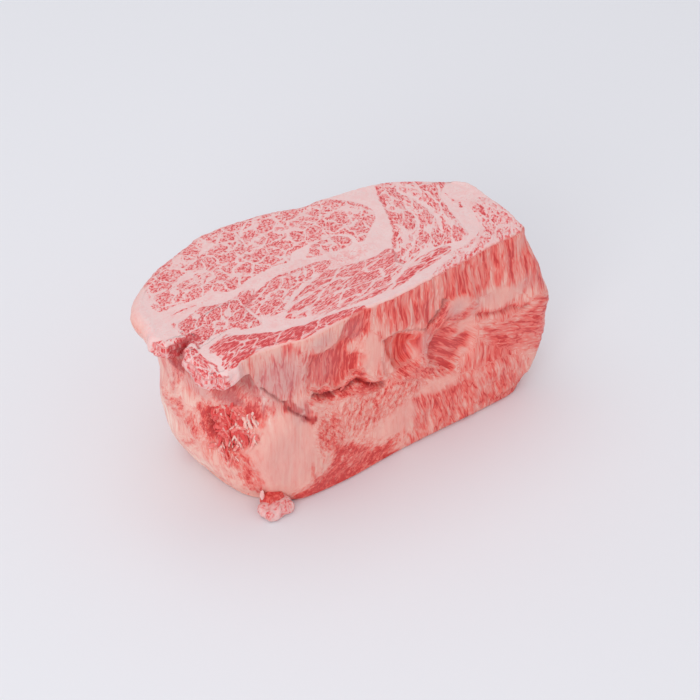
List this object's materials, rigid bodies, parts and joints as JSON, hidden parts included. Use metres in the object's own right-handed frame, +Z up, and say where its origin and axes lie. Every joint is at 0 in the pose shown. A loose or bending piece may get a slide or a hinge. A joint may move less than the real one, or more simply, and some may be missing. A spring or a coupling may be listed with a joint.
{
  "type": "raw beef chuck roll",
  "caption": "Block of raw marbled beef cut from the chuck roll, flat on top and below, with a square-cut front, a rounded back and a torn left end.",
  "frame": {"origin": "on the floor, on the flat base, under the middle of the top face", "axes": "+X along the block towards its swollen right end, +Y to its rounded back, +Z up"},
  "size_m": [0.1798, 0.0886, 0.0817],
  "materials": {
    "marbled_beef": "moist raw marbled beef"
  },
  "bodies": {
    "root": {"chuck_roll_block": "marbled_beef"}
  },
  "joints": []
}
